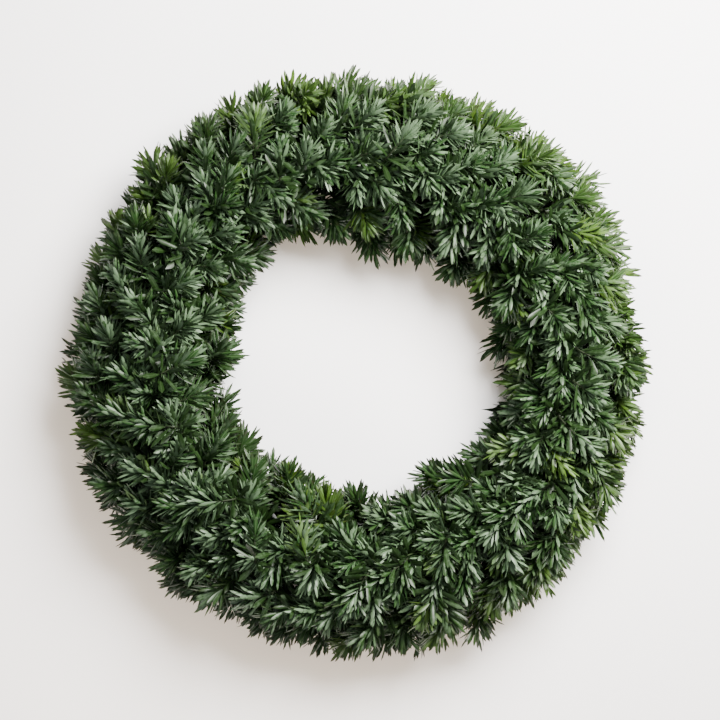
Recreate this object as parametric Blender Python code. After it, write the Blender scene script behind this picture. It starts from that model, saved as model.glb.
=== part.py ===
# Wreath of evergreen sprays bound on a flat wire frame, lying on its back.
# +Z is the wreath's axis and points out of its front. The origin is the middle of the back.
# Sprays grow clockwise as seen from the front.

import math
from itertools import permutations

import bmesh
import bpy
import numpy as np
from mathutils import Matrix
from mathutils.bvhtree import BVHTree

# Driving dimensions in metres
TIP_RADIUS = 0.300  # outer reach of the foliage
HOLE_RADIUS = 0.127  # radius of the hole between the tips
DEPTH = 0.124  # from the back of the frame to the foremost tips
FIRST_SECTION_ANGLE = math.radians(-30)  # section angles run from the outer back edge
LAST_SECTION_ANGLE = math.radians(214)  # over the front to the inner back edge
FAN_HEIGHT = 0.045  # height of the line that the tufts fan out from
LEAN = math.radians(26)  # of each tuft, clockwise
LEAN_RANGE = math.radians(6)
PLACE_RANGE = 0.003  # how far a tuft strays in or out and along the ring
VIGOUR_RANGE = 0.03  # how much longer or shorter a tuft's leaves are, as a share
CLEAR_OF_FLOOR = 0.003
CLEAR_OF_RAILS = 0.010
SECTION_STEPS = 721
STEEP = 0.9  # an axis whose height is more than this share of it counts as upright

STATIONS = 16
TUFTS_PER_SPRAY = {"outer": 8, "front": 7, "inner": 6}
GOLDEN_TURN = (math.sqrt(5) - 1) / 2
SEED = 29

RAIL_RADII = (0.184, 0.202, 0.220, 0.238)
RAIL_SIDE = 0.0032
RAIL_HEIGHT = 0.0220
RAIL_STEPS = 32
BAR_COUNT = 4
BAR_WIDTH = 0.006
BAR_THICKNESS = 0.0024
BAR_OVERHANG = 0.003
BAR_SINK = 0.0006  # how far a bar is welded into the rails
FOOT_LENGTH = 0.012

STEM_RADIUS = 0.0024
SEAT = 0.0003  # gap between a stem and the rail that carries it
SHOOT_RADIUS = 0.0025
SHOOT_TIP_RADIUS = 0.0020
LEVEL_HEIGHT = 0.0070  # one turn of leaves on a shoot
LEAF_LEVELS = 2
TIP_LEAF = 0.021
LEAF_LENGTHS = (0.023, 0.028)
SHORT_LEAF = 0.018
LEAF_HALF_THICKNESS = 0.0025  # at the root
LEAF_GAP = 0.0006  # between leaves of neighbouring shoots
LEVEL_TILTS = ((48, 44, 40), (29, 25, 21, 17))  # degrees from the shoot, tried by turns
TILT_RANGE = 2  # degrees that a leaf strays from its tilt
TURN_RANGE = math.radians(5)
RING_TWIST = math.radians(90)
SHOOT_ROOM = 0.0060  # wanted between the middles of two shoots
CROWDING_COST = 1.0e5
CROSSING_COST = 100.0
EASY_COST = 1.0
ROOT_SHARE = 0.010
LEAST_FORWARD = 0.0  # least lean of a stalk along its stem, as a cosine
SHARPEST_BEND = 0.25  # least cosine between a shoot's stalk and its tuft
NEIGHBOUR_REACH = 0.075
OWNERS_PER_SPRAY = 20  # numbers kept for a spray's stem and shoots

WIRE_RADIUS = 0.0006
WIRE_CLEARANCE = 0.0009
WIRE_SLANT = 0.0008  # of the winding's sides
ACROSS_SHARE = 0.38  # share of each winding that crosses the stems

SECTION_RADIUS = (TIP_RADIUS + HOLE_RADIUS) / 2
SECTION_HALF_WIDTH = (TIP_RADIUS - HOLE_RADIUS) / 2
SECTION_HALF_DEPTH = DEPTH / 2
RAIL_TOP = RAIL_HEIGHT + RAIL_SIDE / 2
STEM_HEIGHT = RAIL_TOP + SEAT + STEM_RADIUS
TUFT_LENGTH = LEAF_LEVELS * LEVEL_HEIGHT + TIP_LEAF
STATION_TURN = math.tau / STATIONS
RAIL_MIDDLE = (RAIL_RADII[0] + RAIL_RADII[-1]) / 2
WINDING_REACH = STEM_RADIUS + WIRE_CLEARANCE + WIRE_RADIUS
ACROSS_WIDTH = RAIL_RADII[-1] - RAIL_RADII[0] + 2 * (WINDING_REACH - WIRE_SLANT)

# The rail that each lane's stems lie on, by turns where there are two
LANE_RAILS = {"outer": (3, 3), "front": (1, 2), "inner": (0, 0)}
STEM_LEAD = {"outer": math.radians(2.5), "front": math.radians(3.0), "inner": math.radians(5.0)}

# Places along a main stem, as angles ahead of its spray's middle
STEM_STOPS = tuple(math.radians(ahead) for ahead in (17.5, 13.0, 10.2, 7.4, 4.6))

# Where along them leaves, stalks and cores are tested, as shares of their length
LEAF_SHARES = np.array([0.3, 0.5, 0.7, 0.85, 1.0])
STALK_SHARES = np.linspace(0.2, 1.0, 20)
CORE_SHARES = np.linspace(0.1, 1.0, 8)

BUTT_TURN = (STEM_STOPS[0] + STEM_STOPS[1]) / 2 - STATION_TURN / 2  # where the winding crosses

# Waves in the wreath's hand-bound outline: turns, height in metres, phase
OUTER_WAVES = ((2, 0.0022, 161), (3, 0.0019, 172), (4, 0.0029, 135), (5, 0.0015, -160))
INNER_WAVES = ((1, 0.0049, -34), (2, 0.0098, -48), (3, 0.0050, 8), (4, 0.0040, 64),
               (5, 0.0042, -118))


def waves(table, turn):
    return sum(high * np.cos(count * turn - math.radians(phase)) for count, high, phase in table)


def at(radius, turn, height):
    """Point in space from its distance to the axis, its angle and its height."""
    return np.array([radius * math.cos(turn), radius * math.sin(turn), height])


def clockwise(turn):
    return np.array([math.sin(turn), -math.cos(turn), 0.0])


def outward(turn):
    return np.array([math.cos(turn), math.sin(turn), 0.0])


def unit(vector):
    return vector / np.linalg.norm(vector)


def rail_of(lane, station):
    """Radius of the rail that a spray's stem lies on."""
    rails = LANE_RAILS[lane]
    return RAIL_RADII[rails[station % len(rails)]]


def winding_turn(radius):
    """How far the winding has come round where it crosses a stem at this radius."""
    return -ACROSS_SHARE * STATION_TURN * (radius - RAIL_MIDDLE) / ACROSS_WIDTH


def section_angles(shares):
    """Section angles that part the foliage's surface in equal areas."""
    angle = np.linspace(FIRST_SECTION_ANGLE, LAST_SECTION_ANGLE, SECTION_STEPS)
    radius = SECTION_RADIUS + SECTION_HALF_WIDTH * np.cos(angle)
    step = np.hypot(SECTION_HALF_WIDTH * np.sin(angle), SECTION_HALF_DEPTH * np.cos(angle))
    area = np.cumsum(radius * step)
    return np.interp(shares, (area - area[0]) / (area[-1] - area[0]), angle)


def lay_out_tufts():
    """Spread the tufts over the surface by the golden section and give each its spray."""
    random = np.random.default_rng(SEED)
    total = STATIONS * sum(TUFTS_PER_SPRAY.values())
    number = np.arange(total)
    section = section_angles((number + 0.5) / total)
    turn = math.tau * (number * GOLDEN_TURN % 1.0)
    sprays = []
    first = 0
    for lane, count in TUFTS_PER_SPRAY.items():
        members = np.arange(first, first + STATIONS * count)
        first += STATIONS * count
        lane_turn = (winding_turn(rail_of(lane, 0)) + winding_turn(rail_of(lane, 1))) / 2
        along = (lane_turn - STEM_LEAD[lane] - turn[members]) % math.tau
        members = members[np.argsort(along)]
        for station in range(STATIONS):
            own = members[station * count:(station + 1) * count]
            tufts = [lay_out_tuft(turn[i], section[i], random) for i in own]
            rail = rail_of(lane, station)
            middle = winding_turn(rail) - STATION_TURN * (station + 0.5)
            sprays.append({"lane": lane, "station": station, "rail": rail,
                           "middle": middle, "tufts": tufts})
    return sprays


def lay_out_tuft(turn, section, random):
    across = math.cos(section)
    shake = random.uniform(-1, 1, 4)
    radius = SECTION_RADIUS + SECTION_HALF_WIDTH * across
    radius += max(across, 0) ** 2 * waves(OUTER_WAVES, turn)
    radius += max(-across, 0) ** 2 * waves(INNER_WAVES, turn)
    height = SECTION_HALF_DEPTH * (1 + math.sin(section))
    fan = unit(np.array([radius - SECTION_RADIUS, height - FAN_HEIGHT]))
    radius += PLACE_RANGE * shake[0] * fan[0]
    height += PLACE_RANGE * shake[0] * fan[1]
    turn = turn + PLACE_RANGE * shake[1] / radius
    face = fan[0] * outward(turn) + np.array([0.0, 0.0, fan[1]])
    lean = LEAN + LEAN_RANGE * shake[2]
    axis = unit(math.cos(lean) * face + math.sin(lean) * clockwise(turn))
    tip = at(radius, turn, height)
    return {"tip": tip, "axis": axis, "base": tip - TUFT_LENGTH * axis,
            "vigour": 1 + VIGOUR_RANGE * shake[3]}


def frame_of(axis):
    """Two directions square to an axis, the second a quarter turn after the first."""
    helper = np.array([0.0, 0.0, 1.0]) if abs(axis[2]) < STEEP else np.array([1.0, 0.0, 0.0])
    first = unit(np.cross(helper, axis))
    return first, np.cross(axis, first)


def azimuth(offset, axis):
    first, second = frame_of(axis)
    return math.atan2(offset @ second, offset @ first)


def around(axis, angle):
    first, second = frame_of(axis)
    return math.cos(angle) * first + math.sin(angle) * second


def band(lower, upper):
    """Six triangles between two rings of three points, in order round the axis."""
    triangles = []
    for k in range(3):
        n = (k + 1) % 3
        triangles.append((lower[k], lower[n], upper[k]))
        triangles.append((lower[n], upper[n], upper[k]))
    return triangles


class Skin:
    """Closed surface of a spray, as it grows from ring to ring."""

    def __init__(self):
        self.points = []
        self.faces = []

    def add(self, corners):
        start = len(self.points)
        self.points += list(corners)
        return [start, start + 1, start + 2]

    def ring(self, centre, axis, angle, radius):
        return self.add(centre + radius * around(axis, angle + k * math.tau / 3) for k in range(3))

    def middle(self, triangle):
        return sum(self.points[i] for i in triangle) / 3

    def normal(self, triangle):
        a, b, c = (self.points[i] for i in triangle)
        return unit(np.cross(b - a, c - a))

    def raise_leaf(self, triangle, tip):
        self.points.append(tip)
        top = len(self.points) - 1
        a, b, c = triangle
        self.faces += [(a, b, top), (b, c, top), (c, a, top)]


class Neighbours:
    """The stems and shoots of the whole wreath, as straight runs to keep clear of."""

    def __init__(self):
        self.starts = []
        self.ends = []
        self.owners = []

    def add(self, start, end, owner):
        self.starts.append(start)
        self.ends.append(end)
        self.owners.append(owner)

    def close(self):
        self.starts = np.array(self.starts)
        self.ends = np.array(self.ends)
        self.owners = np.array(self.owners)

    def near(self, point, reach, owner):
        """The runs of the owner and those of others that come within reach of a point."""
        distance = self.distance(point[None], slice(None))[0]
        own = self.owners == owner
        return np.flatnonzero(own), np.flatnonzero(~own & (distance < reach))

    def distance(self, points, chosen):
        start = self.starts[chosen]
        run = self.ends[chosen] - start
        offset = points[:, None] - start[None]
        share = np.clip((offset * run).sum(2) / (run * run).sum(1), 0, 1)
        return np.linalg.norm(offset - share[..., None] * run, axis=2)


def leaf_fits(root, tip, neighbours, own, others):
    """A leaf stays nearer to its own shoot than to any other, and off frame and floor."""
    points = root + LEAF_SHARES[:, None] * (tip - root)
    if points[:, 2].min() < CLEAR_OF_FLOOR:
        return False
    radius = np.hypot(points[:, 0], points[:, 1])
    over_frame = (radius > RAIL_RADII[0] - CLEAR_OF_RAILS) & (radius < RAIL_RADII[-1] + CLEAR_OF_RAILS)
    if (points[over_frame, 2] < RAIL_HEIGHT).any():
        return False
    if not len(others):
        return True
    margin = 2 * (LEAF_HALF_THICKNESS * (1 - LEAF_SHARES)) + LEAF_GAP
    inside = neighbours.distance(points, own).min(1) + margin
    return bool((inside < neighbours.distance(points, others).min(1)).all())


def grow_leaf(skin, triangle, tuft, foot, tilts, random, neighbours, own, others):
    """Raise one leaf from a face of the shoot, bent clear of the neighbours."""
    root = skin.middle(triangle)
    offset = root - foot
    sideways = offset - (offset @ tuft["axis"]) * tuft["axis"]
    direction = azimuth(sideways, tuft["axis"]) + random.uniform(-TURN_RANGE, TURN_RANGE)
    side = around(tuft["axis"], direction)
    wanted = tuft["vigour"] * random.uniform(*LEAF_LENGTHS)
    turned = random.uniform(-TILT_RANGE, TILT_RANGE)
    for length in (wanted, SHORT_LEAF):
        for tilt in tilts:
            angle = math.radians(tilt + turned)
            tip = root + length * (math.cos(angle) * tuft["axis"] + math.sin(angle) * side)
            if leaf_fits(root, tip, neighbours, own, others):
                skin.raise_leaf(triangle, tip)
                return True
    skin.faces.append(triangle)
    return False


def grow_tuft(skin, lower, twist, tuft, random, neighbours):
    """Carry a ring on as a shoot and set leaves on every face of its last levels."""
    axis = tuft["axis"]
    middle = tuft["base"] + TUFT_LENGTH / 2 * axis
    own, others = neighbours.near(middle, NEIGHBOUR_REACH, tuft["owner"])
    ring = skin.ring(tuft["base"], axis, twist, SHOOT_RADIUS)
    skin.faces += band(lower, ring)
    grown = 0
    for level in range(LEAF_LEVELS):
        foot = tuft["base"] + level * LEVEL_HEIGHT * axis
        twist += RING_TWIST
        share = (level + 1) / LEAF_LEVELS
        radius = SHOOT_RADIUS + share * (SHOOT_TIP_RADIUS - SHOOT_RADIUS)
        upper = skin.ring(foot + LEVEL_HEIGHT * axis, axis, twist, radius)
        for triangle in band(ring, upper):
            grown += grow_leaf(skin, triangle, tuft, foot, LEVEL_TILTS[level], random,
                               neighbours, own, others)
        ring = upper
    skin.raise_leaf(ring, tuft["tip"])
    return grown + 1


def stem_point(spray, ahead):
    return at(spray["rail"], spray["middle"] + ahead, STEM_HEIGHT)


def share_levels(tufts):
    """Give each level of the stem its tufts in the order of growth, the last to the stem's tip."""
    levels = len(STEM_STOPS) - 2
    side_shoots = len(tufts) - 1
    cuts = [side_shoots * k // levels for k in range(levels + 1)]
    return [tufts[low:high] for low, high in zip(cuts, cuts[1:])] + [tufts[-1:]]


def run_points(start, tuft):
    """Points along a shoot beyond its root, on to the tip of its tuft."""
    stalk = start + STALK_SHARES[:, None] * (tuft["base"] - start)
    core = tuft["base"] + CORE_SHARES[:, None] * (tuft["tip"] - tuft["base"])
    return np.vstack([stalk, core])


def crowding(points, others):
    """How much closer than the wanted room a shoot comes to others."""
    close = 0.0
    for other in others:
        apart = np.linalg.norm(points[:, None] - other[None], axis=2).min()
        close += max(0.0, SHOOT_ROOM - apart) ** 2
    return close


def shoot_shape(corners, tuft):
    """Outline of a shoot just clear of its root, to test for crossings."""
    lower = corners + ROOT_SHARE * (tuft["base"] - corners)
    angle = first_ring_angle(corners, tuft)
    upper = [tuft["base"] + SHOOT_RADIUS * around(tuft["axis"], angle + k * math.tau / 3)
             for k in range(3)]
    points = [*lower, *upper, tuft["tip"]]
    faces = band((0, 1, 2), (3, 4, 5)) + [(3, 4, 6), (4, 5, 6), (5, 3, 6)]
    return BVHTree.FromPolygons([tuple(p) for p in points], faces)


def turn_cost(way, look, axis, forward):
    """Cost of a shoot that leaves its face aslant, leans back or bends sharply to its tuft."""
    bent = max(0.0, SHARPEST_BEND - way @ axis)
    back = max(0.0, LEAST_FORWARD - way @ forward)
    return (1 - way @ look) ** 2 + CROSSING_COST * (bent + back)


def best_faces(skin, triangles, tufts, placed, forward, stem):
    """Give each tuft the face that looks most nearly towards it, with no shoots crossing."""
    corners = [np.array([skin.points[i] for i in triangle]) for triangle in triangles]
    middles = [skin.middle(triangle) for triangle in triangles]
    looks = [skin.normal(triangle) for triangle in triangles]
    runs = [[run_points(middle, tuft) for middle in middles] for tuft in tufts]
    shapes = [[shoot_shape(three, tuft) for three in corners] for tuft in tufts]
    turned = [[turn_cost(unit(tuft["base"] - middle), look, tuft["axis"], forward)
               for middle, look in zip(middles, looks)] for tuft in tufts]

    def clash(run, shape, others):
        crossings = sum(bool(shape.overlap(other)) for _, other in others)
        return CROWDING_COST * crowding(run, [other for other, _ in others]) + CROSSING_COST * crossings

    blocked = [[clash(run, shape, placed) + CROSSING_COST * bool(shape.overlap(stem))
                for run, shape in zip(*row)] for row in zip(runs, shapes)]

    def cost(order):
        chosen = [(runs[k][face], shapes[k][face]) for k, face in enumerate(order)]
        total = sum(turned[k][face] + blocked[k][face] for k, face in enumerate(order))
        for k, (run, shape) in enumerate(chosen):
            total += clash(run, shape, chosen[:k])
        return total

    order = min(permutations(range(len(triangles)), len(tufts)), key=cost)
    placed += [(runs[k][face], shapes[k][face]) for k, face in enumerate(order)]
    return order, cost(order)


def stem_ring(spray, index):
    """Corners of one ring of a main stem, each ring a sixth of a turn on from the last."""
    axis = clockwise(spray["middle"] + STEM_STOPS[index])
    centre = stem_point(spray, STEM_STOPS[index])
    angles = [index * math.pi / 3 - math.pi / 2 + k * math.tau / 3 for k in range(3)]
    return np.array([centre + STEM_RADIUS * around(axis, angle) for angle in angles])


def stem_shape(spray):
    """The bare main stem, to test shoots against."""
    points = [tuple(corner) for index in range(len(STEM_STOPS)) for corner in stem_ring(spray, index)]
    faces = []
    for first in range(0, len(points) - 3, 3):
        faces += band(range(first, first + 3), range(first + 3, first + 6))
    return BVHTree.FromPolygons(points, faces)


def orders_of_growth(tufts):
    """The tufts by their place along the stem, then the same with one or two exchanged."""
    yield tufts
    for step in (1, 2, 3):
        for k in range(len(tufts) - step):
            changed = list(tufts)
            changed[k], changed[k + step] = tufts[k + step], tufts[k]
            yield changed


def grow_stem(spray):
    """The first order of growth in which no shoots cross, or else the one with the fewest."""
    best = None
    for tufts in orders_of_growth(spray["tufts"]):
        skin, shoots, cost = grow_in_order(spray, tufts)
        if best is None or cost < best[2]:
            best = (skin, shoots, cost)
        if cost < EASY_COST:
            break
    return best[:2]


def grow_in_order(spray, tufts):
    """Main stem laid on its rail, and the face that each of its shoots starts from."""
    skin = Skin()
    levels = share_levels(tufts)
    total = 0.0
    tip_shoot = levels[-1][0]
    corners = stem_ring(spray, len(STEM_STOPS) - 1)
    placed = [(run_points(corners.mean(0), tip_shoot), shoot_shape(corners, tip_shoot))]
    stem = stem_shape(spray)
    shoots = []
    ring = None
    for index in range(len(STEM_STOPS)):
        upper = skin.add(stem_ring(spray, index))
        if index == 0:
            skin.faces.append(tuple(reversed(upper)))
        else:
            triangles = band(ring, upper)
            tufts = levels[index - 2] if index > 1 else []
            forward = clockwise(spray["middle"] + STEM_STOPS[index])
            order, cost = best_faces(skin, triangles, tufts, placed, forward, stem)
            total += cost
            shoots += [(tuft, triangles[face]) for face, tuft in zip(order, tufts)]
            skin.faces += [t for k, t in enumerate(triangles) if k not in order]
        ring = upper
    shoots.append((tip_shoot, tuple(ring)))
    return skin, shoots, total


def enter_runs(spray, neighbours):
    """Enter a spray's stem and shoots in the list of runs."""
    number = list(TUFTS_PER_SPRAY).index(spray["lane"]) * STATIONS + spray["station"]
    owner = number * OWNERS_PER_SPRAY
    points = [stem_point(spray, stop) for stop in STEM_STOPS]
    for start, end in zip(points, points[1:]):
        neighbours.add(start, end, owner)
    for tuft, triangle in spray["shoots"]:
        owner += 1
        tuft["owner"] = owner
        for corner in triangle:
            neighbours.add(spray["skin"].points[corner], tuft["base"], owner)
        neighbours.add(tuft["base"], tuft["tip"], owner)


def first_ring_angle(corners, tuft):
    """Angle of a shoot's first ring that follows on from the corners of its root."""
    middle = corners.mean(0)
    way = unit(tuft["base"] - middle)
    angles = [azimuth(corner - middle, way) - k * math.tau / 3 for k, corner in enumerate(corners)]
    turns = [(angle - angles[0] + math.pi) % math.tau - math.pi for angle in angles]
    return carry_angle(angles[0] + sum(turns) / 3, way, tuft["axis"]) + math.pi / 3


def carry_angle(angle, axis, new_axis):
    """The angle round a new axis that looks the same way as an angle round the old one."""
    look = around(axis, angle)
    turn_axis = np.cross(axis, new_axis)
    sine = np.linalg.norm(turn_axis)
    if sine > 1e-9:
        turn_axis = turn_axis / sine
        cosine = axis @ new_axis
        look = (look * cosine + np.cross(turn_axis, look) * sine
                + turn_axis * (turn_axis @ look) * (1 - cosine))
    return azimuth(look, new_axis)


def make_material(name, colour, roughness, metallic):
    material = bpy.data.materials.new(name)
    material.use_nodes = True
    shader = material.node_tree.nodes["Principled BSDF"]
    shader.inputs["Base Color"].default_value = (*colour, 1.0)
    shader.inputs["Roughness"].default_value = roughness
    shader.inputs["Metallic"].default_value = metallic
    return material


def place(name, mesh, material):
    thing = bpy.data.objects.new(name, mesh)
    mesh.materials.append(material)
    bpy.context.scene.collection.objects.link(thing)
    return thing


def mesh_from(name, points, faces):
    mesh = bpy.data.meshes.new(name)
    mesh.from_pydata([tuple(float(v) for v in p) for p in points], [], faces)
    mesh.validate()
    mesh.update()
    return mesh


def make_rail(radius):
    """Square wire bent round to a ring."""
    work = bmesh.new()
    half = RAIL_SIDE / 2
    corners = [(-half, -half), (half, -half), (half, half), (-half, half)]
    verts = [work.verts.new((radius + x, 0.0, RAIL_HEIGHT + z)) for x, z in corners]
    edges = [work.edges.new((verts[k], verts[(k + 1) % 4])) for k in range(4)]
    bmesh.ops.spin(work, geom=verts + edges, cent=(0, 0, 0), axis=(0, 0, 1),
                   angle=math.tau, steps=RAIL_STEPS, use_merge=True)
    bmesh.ops.recalc_face_normals(work, faces=work.faces[:])
    mesh = bpy.data.meshes.new("rail")
    work.to_mesh(mesh)
    work.free()
    return mesh


def make_bar(turn):
    """Flat strip bent to a bridge under the rails, with its feet turned in on the ground."""
    top = RAIL_HEIGHT - RAIL_SIDE / 2 + BAR_SINK
    inner = RAIL_RADII[0] - BAR_OVERHANG
    outer = RAIL_RADII[-1] + BAR_OVERHANG
    thick = BAR_THICKNESS
    half = [(0, 0), (FOOT_LENGTH, 0), (FOOT_LENGTH, thick), (thick, thick), (thick, top - thick)]
    outline = [(inner + x, z) for x, z in half]
    outline += [(outer - x, z) for x, z in reversed(half)]
    outline += [(outer, top), (inner, top)]
    work = bmesh.new()
    verts = [work.verts.new((radius, -BAR_WIDTH / 2, height)) for radius, height in outline]
    side = work.faces.new(verts)
    far = bmesh.ops.extrude_face_region(work, geom=[side])["geom"]
    moved = [item for item in far if isinstance(item, bmesh.types.BMVert)]
    bmesh.ops.translate(work, verts=moved, vec=(0, BAR_WIDTH, 0))
    bmesh.ops.rotate(work, verts=work.verts[:], cent=(0, 0, 0), matrix=Matrix.Rotation(turn, 3, "Z"))
    bmesh.ops.recalc_face_normals(work, faces=work.faces[:])
    mesh = bpy.data.meshes.new("bar")
    work.to_mesh(mesh)
    work.free()
    return mesh


def make_frame(material):
    """Four rails and their cross bars, welded to one piece."""
    pieces = bpy.data.collections.new("frame_pieces")
    bpy.context.scene.collection.children.link(pieces)
    for radius in RAIL_RADII[1:]:
        pieces.objects.link(bpy.data.objects.new("rail", make_rail(radius)))
    for index in range(BAR_COUNT):
        turn = BUTT_TURN + math.tau * index / BAR_COUNT
        pieces.objects.link(bpy.data.objects.new("bar", make_bar(turn)))
    frame = place("wire_frame", make_rail(RAIL_RADII[0]), material)
    weld = frame.modifiers.new("weld", "BOOLEAN")
    weld.operation = "UNION"
    weld.operand_type = "COLLECTION"
    weld.collection = pieces
    weld.solver = "EXACT"
    graph = bpy.context.evaluated_depsgraph_get()
    welded = bpy.data.meshes.new_from_object(frame.evaluated_get(graph))
    frame.modifiers.clear()
    frame.data = welded
    for piece in list(pieces.objects):
        bpy.data.objects.remove(piece)
    bpy.data.collections.remove(pieces)
    return frame


def winding_corners():
    """Corners of one winding: radius, height and share of the winding done."""
    over = STEM_HEIGHT + WINDING_REACH
    under = RAIL_HEIGHT - RAIL_SIDE / 2 - WIRE_CLEARANCE - WIRE_RADIUS
    inner = RAIL_RADII[0] - WINDING_REACH
    outer = RAIL_RADII[-1] + WINDING_REACH
    half = ACROSS_SHARE / 2
    return ((inner, RAIL_HEIGHT, 0.0), (inner + WIRE_SLANT, over, 0.25 - half),
            (outer - WIRE_SLANT, over, 0.25 + half), (outer, RAIL_HEIGHT, 0.5),
            (outer - WIRE_SLANT, under, 0.75 - half), (inner + WIRE_SLANT, under, 0.75 + half))


def make_winding(material):
    """Thin wire wound once round the frame and the stems' cut ends at each station."""
    first = BUTT_TURN + STATION_TURN / 4
    middles = []
    for winding in range(STATIONS):
        for radius, height, share in winding_corners():
            middles.append(at(radius, first - STATION_TURN * (winding + share), height))
    points = []
    faces = []
    count = len(middles)
    for k, centre in enumerate(middles):
        axis = unit(middles[(k + 1) % count] - middles[k - 1])
        for side in range(3):
            points.append(centre + WIRE_RADIUS * around(axis, side * math.tau / 3))
    for k in range(count - 1):
        faces += ring_faces(points, 3 * k, 3 * k + 3)
    faces.append((2, 1, 0))
    faces.append((3 * count - 3, 3 * count - 2, 3 * count - 1))
    return place("binding_wire", mesh_from("binding_wire", points, faces), material)


def ring_faces(points, lower, upper):
    """Join two rings of three points so that nearest corners meet."""
    gaps = [sum(np.linalg.norm(points[lower + k] - points[upper + (k + s) % 3]) for k in range(3))
            for s in range(3)]
    shift = int(np.argmin(gaps))
    faces = []
    for k in range(3):
        a, b = lower + k, lower + (k + 1) % 3
        c, d = upper + (k + shift) % 3, upper + (k + 1 + shift) % 3
        faces += [(a, b, c), (b, d, c)]
    return faces


def main():
    for thing in list(bpy.data.objects):
        bpy.data.objects.remove(thing)
    needle = make_material("needle_leaf", (0.045, 0.080, 0.034), 0.45, 0.0)
    painted = make_material("painted_wire", (0.020, 0.045, 0.022), 0.40, 0.6)
    bare = make_material("binding_wire", (0.060, 0.075, 0.050), 0.35, 0.8)
    make_frame(painted)
    make_winding(bare)
    sprays = lay_out_tufts()
    neighbours = Neighbours()
    for spray in sprays:
        spray["skin"], spray["shoots"] = grow_stem(spray)
        enter_runs(spray, neighbours)
    neighbours.close()
    random = np.random.default_rng(SEED + 1)
    leaves = 0
    triangles = 0
    for spray in sprays:
        skin = spray["skin"]
        for tuft, triangle in spray["shoots"]:
            corners = np.array([skin.points[corner] for corner in triangle])
            twist = first_ring_angle(corners, tuft)
            leaves += grow_tuft(skin, triangle, twist, tuft, random, neighbours)
        triangles += len(skin.faces)
        name = f"spray_{spray['lane']}_{spray['station'] + 1:02d}"
        place(name, mesh_from(name, skin.points, skin.faces), needle)
    print("leaves", leaves, "spray triangles", triangles)


main()
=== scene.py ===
import math

import bpy
import numpy as np
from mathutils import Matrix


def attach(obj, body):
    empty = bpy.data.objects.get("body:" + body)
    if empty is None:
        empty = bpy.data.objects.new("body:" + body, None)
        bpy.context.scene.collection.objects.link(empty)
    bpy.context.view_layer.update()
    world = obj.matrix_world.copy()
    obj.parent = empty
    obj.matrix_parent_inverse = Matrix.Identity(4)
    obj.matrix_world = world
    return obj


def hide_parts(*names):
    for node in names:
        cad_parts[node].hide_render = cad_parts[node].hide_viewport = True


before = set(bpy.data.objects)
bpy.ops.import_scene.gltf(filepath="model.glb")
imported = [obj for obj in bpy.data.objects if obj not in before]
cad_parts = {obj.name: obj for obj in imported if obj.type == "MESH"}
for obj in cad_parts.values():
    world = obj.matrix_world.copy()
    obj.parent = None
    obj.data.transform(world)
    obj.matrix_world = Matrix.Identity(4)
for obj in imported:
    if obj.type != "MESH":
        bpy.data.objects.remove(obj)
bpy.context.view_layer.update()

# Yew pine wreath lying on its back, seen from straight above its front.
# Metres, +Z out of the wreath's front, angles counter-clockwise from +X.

# The wreath's build, with the frame's own driving sizes
wreath = {
    "tipRadius": 0.300,
    "holeRadius": 0.127,
    "depth": 0.124,
    "firstSectionAngle": math.radians(-30),  # from the outer back edge
    "lastSectionAngle": math.radians(214),  # over the front to the inner back edge
    "fanHeight": 0.045,  # the tufts fan out from a ring at this height
    "placeRange": 0.003,
    "stations": 16,
    "tuftsPerSpray": {"outer": 8, "front": 7, "inner": 6},
    "seed": 29,
    "outerWaves": ((2, 0.0022, 161), (3, 0.0019, 172), (4, 0.0029, 135), (5, 0.0015, -160)),
    "innerWaves": ((1, 0.0049, -34), (2, 0.0098, -48), (3, 0.0050, 8), (4, 0.0040, 64),
                   (5, 0.0042, -118)),
}
stem = {
    "radius": 0.0021,
    "tipRadius": 0.0017,
    "seat": 0.0003,
    "seatRadius": 0.0024,  # half the height that the stem takes up on its rail
    "stops": np.radians([17.5, 13.0, 10.2, 7.4, 4.6]),  # ahead of the spray's middle
    "rings": 16,
    "sides": 8,
    "lanes": {"outer": (3, 3), "front": (1, 2), "inner": (0, 0)},  # the rails they lie on
    "lead": {"outer": math.radians(2.5), "front": math.radians(3.0), "inner": math.radians(5.0)},
}
ring = {
    "railRadii": np.array([0.184, 0.202, 0.220, 0.238]),
    "railWire": 0.0017,
    "railSide": 0.0032,
    "railHeight": 0.0220,
    "barCount": 4,
    "barWidth": 0.006,
    "barThickness": 0.0024,
    "barOverhang": 0.003,
    "barSink": 0.0006,
    "barCorner": 0.0016,
    "barChamfer": 0.0005,
    "footLength": 0.012,
    "acrossShare": 0.38,
    "wireRadius": 0.0006,
    "wireClearance": 0.0009,
    "wireSlant": 0.0008,
    "wireCorner": 0.0012,
}
goldenTurn = (math.sqrt(5) - 1) / 2
stationTurn = math.tau / wreath["stations"]
laneNames = list(wreath["tuftsPerSpray"])
upward = np.array([0.0, 0.0, 1.0])


def waves(table, turn):
    # sum of cosines round the ring, each with its count, height and phase
    return sum(high * np.cos(count * turn - math.radians(phase)) for count, high, phase in table)


def unit(vectors):
    return vectors / np.linalg.norm(vectors, axis=-1, keepdims=True)


def at(radius, turn, height):
    return np.stack(np.broadcast_arrays(radius * np.cos(turn), radius * np.sin(turn), height), -1)


def outward(turn):
    return at(1.0, turn, 0.0)


def clockwise(turn):
    return np.stack([np.sin(turn), -np.cos(turn), np.zeros_like(turn)], -1)


def squareTo(axis):
    # two directions square to each axis, the second a quarter turn after the first
    steep = np.abs(axis[..., 2:3]) < 0.9
    helper = np.where(steep, upward, np.array([1.0, 0.0, 0.0]))
    first = unit(np.cross(helper, axis))
    return first, np.cross(axis, first)


def lerp(ends, share):
    return ends[0] + (ends[1] - ends[0]) * share


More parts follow.
